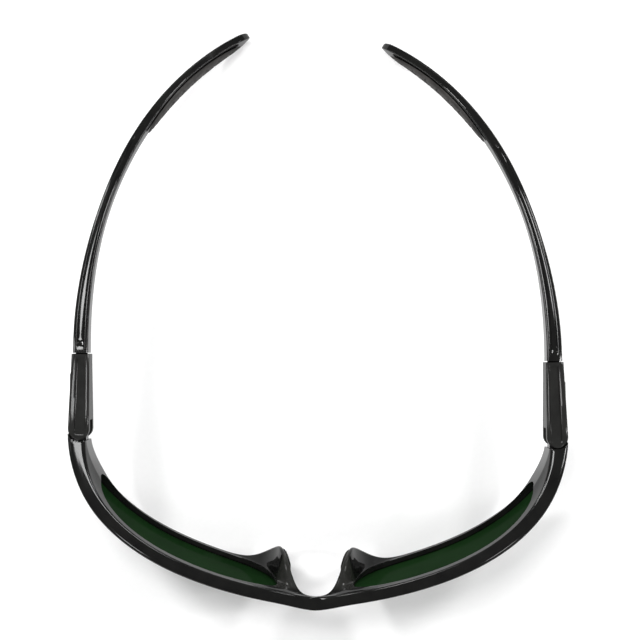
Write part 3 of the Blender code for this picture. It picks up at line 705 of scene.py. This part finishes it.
def arm_mesh():
    """An arm from its base to its round end."""
    rings = [arm_ring(t, 1.0) for t in np.linspace(0, ARM_TIP_START, ARM_SECTIONS)]
    for angle in np.radians(np.linspace(0, 86, 12)[1:]):
        place = ARM_TIP_START + ARM_TIP_REACH * math.sin(angle)
        rings.append(arm_ring(place, 0.12 + 0.88 * math.cos(angle) ** 0.8))
    return capped_tube(rings)


def make_arm(name, mirrored):
    """Fine arm with the spigot that plugs into the base."""
    arm = add_piece(name, arm_mesh(), mirrored)
    combine(arm, spigot(0, HINGE_Y + BASE_LENGTH + 2.0), "UNION", mirrored)
    return arm


def tip_pad_mesh():
    """Soft grip on the inner face of an arm's end, parted into segments by slanting grooves."""
    sections = 220
    columns = 15
    length = np.linalg.norm(arm_path(PAD_END) - arm_path(PAD_START))
    rings = []
    for k, t in enumerate(np.linspace(PAD_START, PAD_END, sections)):
        centre, inward, up = arm_frame(t)
        half_thickness = arm_size(t)[0]
        share = (k + 0.6) / (sections + 0.2)
        taper = math.sin(math.pi * share) ** 0.35
        half = TIP_PAD_HEIGHT / 2 * taper
        start = half_thickness + FIT_GAP
        outline = [(start, -half), (start, half)]
        for column in range(columns):
            place = 1 - 2 * column / (columns - 1)
            crown = (1 - abs(place) ** 5) ** 0.5 if abs(place) < 1 else 0.0
            along = (share * length + 0.55 * abs(place) * half) % PAD_SEGMENT
            groove = PAD_GROOVE_DEPTH * math.exp(-((along - PAD_SEGMENT / 2) / PAD_GROOVE_WIDTH) ** 2)
            thickness = TIP_PAD_THICKNESS * taper * (0.3 + 0.7 * crown)
            outline.append((start + thickness - groove * crown * taper, half * place * 0.995))
        rings.append([centre + inward * x + up * z for x, z in outline])
    return capped_tube(rings)


# ---- Materials -----------------------------------------------------------------------------------
def material(name):
    look = bpy.data.materials.new(name)
    look.use_nodes = True
    tree = look.node_tree
    shader = tree.nodes["Principled BSDF"]
    place = tree.nodes.new("ShaderNodeTexCoord")
    return look, tree, shader, place


def noise(tree, place, size, detail=4.0, roughness=0.55):
    """Noise whose features are about the given size in millimetres."""
    node = tree.nodes.new("ShaderNodeTexNoise")
    node.inputs["Scale"].default_value = 1 / (size * MM)
    node.inputs["Detail"].default_value = detail
    node.inputs["Roughness"].default_value = roughness
    tree.links.new(place.outputs["Object"], node.inputs["Vector"])
    return node.outputs["Fac"]


def ramp(tree, value, low, high, first, second):
    """Value mapped from the range low to high onto two colours."""
    node = tree.nodes.new("ShaderNodeValToRGB")
    node.color_ramp.elements[0].position = low
    node.color_ramp.elements[0].color = (*first, 1)
    node.color_ramp.elements[1].position = high
    node.color_ramp.elements[1].color = (*second, 1)
    tree.links.new(value, node.inputs["Fac"])
    return node.outputs["Color"]


def span(tree, value, low, high):
    """Value from 0 to 1 mapped onto the range low to high."""
    node = tree.nodes.new("ShaderNodeMapRange")
    node.inputs["To Min"].default_value = low
    node.inputs["To Max"].default_value = high
    tree.links.new(value, node.inputs["Value"])
    return node.outputs["Result"]


def bump(tree, shader, heights):
    """Stack of fine reliefs, as (height socket, depth in millimetres) pairs."""
    previous = None
    for height, depth in heights:
        node = tree.nodes.new("ShaderNodeBump")
        node.inputs["Distance"].default_value = depth * MM
        node.inputs["Strength"].default_value = 1.0
        tree.links.new(height, node.inputs["Height"])
        if previous is not None:
            tree.links.new(previous, node.inputs["Normal"])
        previous = node.outputs["Normal"]
    tree.links.new(previous, shader.inputs["Normal"])


def moulded(name, dark, light, gloss, grain, grain_depth, wave_depth, shine):
    """Moulded plastic or rubber: faint mottling, a fine grain and a slow waviness under a smooth skin.

    The shine is the skin's coat alone, as the plain specular level is zero.
    """
    look, tree, shader, place = material(name)
    mottling = noise(tree, place, 6.0, 5.0, 0.6)
    colour = ramp(tree, mottling, 0.3, 0.7, dark, light)
    tree.links.new(colour, shader.inputs["Base Color"])
    smears = noise(tree, place, 9.0, 3.0, 0.65)
    rough = span(tree, smears, *gloss)
    tree.links.new(rough, shader.inputs["Roughness"])
    shader.inputs["Specular IOR Level"].default_value = 0.0
    shader.inputs["Coat Weight"].default_value = shine
    shader.inputs["Coat Roughness"].default_value = gloss[0] / 2
    bump(tree, shader, [(noise(tree, place, 7.0, 2.0), wave_depth),
                        (noise(tree, place, grain, 3.0, 0.6), grain_depth)])
    return look


def band_mask(tree, value, low, high):
    """1 where the value is past high, 0 before low, with a soft edge between them; millimetres."""
    node = tree.nodes.new("ShaderNodeMapRange")
    node.interpolation_type = "SMOOTHSTEP"
    node.inputs["From Min"].default_value = low * MM
    node.inputs["From Max"].default_value = high * MM
    tree.links.new(value, node.inputs["Value"])
    return node.outputs["Result"]


def calculate(tree, operation, first, second=None):
    """Result of a math node on one or two sockets."""
    node = tree.nodes.new("ShaderNodeMath")
    node.operation = operation
    tree.links.new(first, node.inputs[0])
    if second is not None:
        tree.links.new(second, node.inputs[1])
    return node.outputs["Value"]


def masked(tree, socket, mask, kind):
    """Give a socket a second source where the mask is 1, and return the input for that source."""
    mix = tree.nodes.new("ShaderNodeMix")
    mix.data_type = kind
    first, second = (next(i for i in mix.inputs if i.name == letter and i.enabled) for letter in "AB")
    tree.links.new(mask, mix.inputs[0])
    tree.links.new(socket.links[0].from_socket, first)
    tree.links.new(next(o for o in mix.outputs if o.enabled), socket)
    return second


def paint_nose_web_sheen(look, painted_sheen_dark, painted_sheen_light):
    """Paint the back of the nose web lighter, as a painted reflection of the back light on the black
    front, and make it matt.
    """
    tree = look.node_tree
    shader = tree.nodes["Principled BSDF"]
    place = tree.nodes["Texture Coordinate"]
    parts = tree.nodes.new("ShaderNodeSeparateXYZ")
    tree.links.new(place.outputs["Object"], parts.inputs["Vector"])
    across = calculate(tree, "ABSOLUTE", parts.outputs["X"])
    slant = tree.nodes.new("ShaderNodeMath")
    slant.operation = "MULTIPLY_ADD"
    slant.inputs[1].default_value = WEB_SLANT
    tree.links.new(parts.outputs["Y"], slant.inputs[0])
    tree.links.new(across, slant.inputs[2])
    edge = WEB_HALF_WIDTH + WEB_SLANT * (FRONT_Y + 10.3)
    near = band_mask(tree, slant.outputs["Value"], edge + 0.4, edge - 0.4)
    behind = band_mask(tree, parts.outputs["Y"], FRONT_Y + 4.0, FRONT_Y + 5.2)
    below = band_mask(tree, parts.outputs["Z"], 35.5, 33.5)
    mask = calculate(tree, "MULTIPLY", calculate(tree, "MULTIPLY", near, behind), below)
    # Painted reflection: a lighter colour replaces the black on the nose web inside the mask.
    painted_sheen_colour = ramp(tree, noise(tree, place, 1.2, 4.0, 0.6), 0.3, 0.7, painted_sheen_dark, painted_sheen_light)
    tree.links.new(painted_sheen_colour, masked(tree, shader.inputs["Base Color"], mask, "RGBA"))
    masked(tree, shader.inputs["Roughness"], mask, "FLOAT").default_value = SATIN_ROUGHNESS


def lens_look():
    """Dark green glass-like sheet that lets a little light through."""
    look, tree, shader, place = material("green_lens_fine")
    drift = noise(tree, place, 30.0, 2.0)
    tree.links.new(ramp(tree, drift, 0.35, 0.65, (0.0055, 0.019, 0.0055), (0.0078, 0.026, 0.0075)),
                   shader.inputs["Base Color"])
    smears = noise(tree, place, 12.0, 4.0, 0.7)
    tree.links.new(span(tree, smears, 0.03, 0.10), shader.inputs["Roughness"])
    shader.inputs["Specular IOR Level"].default_value = 0.0
    shader.inputs["Coat Weight"].default_value = 0.02
    shader.inputs["Coat Roughness"].default_value = 0.04
    bump(tree, shader, [(noise(tree, place, 25.0, 1.0), 0.05)])
    return look


def steel_look():
    look, tree, shader, place = material("screw_steel_fine")
    marks = noise(tree, place, 0.4, 5.0, 0.7)
    tree.links.new(ramp(tree, marks, 0.3, 0.7, (0.42, 0.42, 0.43), (0.62, 0.62, 0.63)),
                   shader.inputs["Base Color"])
    tree.links.new(span(tree, marks, 0.22, 0.42), shader.inputs["Roughness"])
    shader.inputs["Metallic"].default_value = 1.0
    bump(tree, shader, [(noise(tree, place, 0.15, 3.0), 0.004)])
    return look


BLACK_DARK = (0.005, 0.005, 0.005)
BLACK_LIGHT = (0.009, 0.009, 0.0085)
# Real colour of the nose pad rubber, also used as the painted reflection on the front's nose web.
RUBBER_AND_SHEEN_DARK = (0.018, 0.018, 0.0165)
RUBBER_AND_SHEEN_LIGHT = (0.028, 0.028, 0.026)
BLACK = moulded("black_nylon_fine", BLACK_DARK, BLACK_LIGHT, (0.14, 0.26), 0.25, 0.002, 0.05, shine=0.5)
GREY = moulded("grey_nylon_fine", (0.013, 0.013, 0.0125), (0.021, 0.021, 0.0202), (0.2, 0.34),
               0.3, 0.005, 0.05, shine=0.25)
NOSE = moulded("nose_rubber_fine", RUBBER_AND_SHEEN_DARK, RUBBER_AND_SHEEN_LIGHT, (0.45, 0.6), 0.3, 0.01, 0.05, shine=0.12)
GRIP = moulded("grip_rubber_fine", (0.030, 0.029, 0.028), (0.06, 0.057, 0.055), (0.5, 0.7),
               0.35, 0.015, 0.05, shine=0.15)
FRONT_BLACK = moulded("black_nylon_front", BLACK_DARK, BLACK_LIGHT, (0.16, 0.3),
                      0.25, 0.002, 0.05, shine=0.42)
# Painted reflection: the front's nose web is painted lighter.
paint_nose_web_sheen(FRONT_BLACK, RUBBER_AND_SHEEN_DARK, RUBBER_AND_SHEEN_LIGHT)
GREEN = lens_look()
STEEL = steel_look()


# ---- Assembly ------------------------------------------------------------------------------------
def dress(piece, look, body, node):
    """Give a piece its finish, its body and the CAD node that it stands for."""
    piece.data.materials.clear()
    piece.data.materials.append(look)
    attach(piece, body)
    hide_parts(node)


def to_rest(piece, side):
    """Turn a temple's piece to its rest angle about the hinge."""
    if side == "left":
        axis = Vector((HINGE_X, HINGE_Y, HINGE_Z)) * MM
        turn = Matrix.Rotation(math.radians(LEFT_REST_FOLD), 4, "Z")
        piece.data.transform(Matrix.Translation(axis) @ turn @ Matrix.Translation(-axis))


def assemble():
    """Make every piece and tie it to its body and its CAD node."""
    front = make_front()
    soften(front, 0.18, 2, 50)
    dress(front, FRONT_BLACK, "front", "front_frame")
    for side, mirrored in SIDES:
        lens = add_piece("lens_shell_" + side, lens_mesh(), mirrored)
        dress(lens, GREEN, "front", "lens_" + side)
        pad = add_piece("nose_cushion_" + side, nose_pad_mesh(), mirrored, 50)
        dress(pad, NOSE, "front", "nose_pad_" + side)
        plate = add_piece("plate_shell_" + side, box(*plate_place()), mirrored)
        soften(plate, 0.25, 4, 40)
        base = make_base("base_shell_" + side, mirrored)
        soften(base, 0.15, 2, 50)
        arm = make_arm("arm_shell_" + side, mirrored)
        even_light(arm)
        grip = add_piece("tip_grip_" + side, tip_pad_mesh(), mirrored, 60)
        screw = make_screw("screw_shell_" + side, mirrored)
        body = "temple_" + side
        for piece, look, node, slot in ((base, GREY, "temple_base_", "grey_nylon"),
                                        (plate, GREY, "side_plate_", "grey_nylon"),
                                        (arm, BLACK, "temple_arm_", "black_nylon"),
                                        (grip, GRIP, "tip_pad_", "grip_rubber"),
                                        (screw, STEEL, "hinge_screw_", "steel")):
            to_rest(piece, side)
            dress(piece, look, body, node + side)


assemble()


# ---- Floor, light and camera ---------------------------------------------------------------------
FLOOR_HALF_SIZE = 3000
FLOOR_DROP = 0.2


def area_light(name, place, aim, width, height, power):
    data = bpy.data.lights.new(name, "AREA")
    data.shape = "RECTANGLE"
    data.size = width
    data.size_y = height
    data.energy = power
    lamp = bpy.data.objects.new(name, data)
    lamp.location = place
    lamp.rotation_euler = (Vector(aim) - Vector(place)).to_track_quat("-Z", "Y").to_euler()
    bpy.context.scene.collection.objects.link(lamp)


def make_floor():
    """Wide pale floor a little under the lowest point."""
    floor_look, tree, shader, place = material("floor_paper")
    fibres = noise(tree, place, 1.5, 5.0, 0.6)
    tree.links.new(ramp(tree, fibres, 0.3, 0.7, (0.93, 0.93, 0.93), (0.95, 0.95, 0.95)),
                   shader.inputs["Base Color"])
    shader.inputs["Roughness"].default_value = 0.9
    shader.inputs["Specular IOR Level"].default_value = 0.0
    mesh = bmesh.new()
    bmesh.ops.create_grid(mesh, x_segments=2, y_segments=2, size=FLOOR_HALF_SIZE)
    floor = add_piece("floor", mesh)
    floor.location.z = -FLOOR_DROP * MM
    floor.data.materials.append(floor_look)


def make_world():
    world = bpy.data.worlds.new("studio")
    world.use_nodes = True
    world.node_tree.nodes["Background"].inputs["Color"].default_value = (1, 1, 1, 1)
    world.node_tree.nodes["Background"].inputs["Strength"].default_value = 0.19
    bpy.context.scene.world = world


def make_camera():
    data = bpy.data.cameras.new("camera")
    data.lens = 129.0
    data.sensor_width = 36.0
    camera = bpy.data.objects.new("camera", data)
    camera.location = (0, -0.0015, 0.700)
    camera.rotation_euler = (0, 0, math.radians(1.0))
    bpy.context.scene.collection.objects.link(camera)
    bpy.context.scene.camera = camera


make_floor()
make_world()
area_light("key", (-0.12, 0.14, 0.80), (0, 0, 0), 0.18, 0.18, 2.6)
for name, x, y, power in (("back_left", -0.42, 0.36, 2.3), ("back_right", 0.42, 0.36, 1.7),
                          ("front_left", -0.42, -0.40, 1.2), ("front_right", 0.42, -0.40, 1.0)):
    area_light(name, (x, y, 0.62), (0, 0, 0), 0.12, 0.12, power)
area_light("left_strip", (-0.55, 0.0, 0.22), (0, 0, 0.02), 0.03, 0.6, 0.6)
area_light("right_strip", (0.50, 0.0, 0.30), (0, 0, 0.02), 0.02, 0.6, 1.4)
area_light("back_strip", (0.0, 0.60, 0.35), (0, 0, 0.02), 0.6, 0.06, 0.6)
make_camera()
bpy.context.scene.view_settings.view_transform = "Standard"
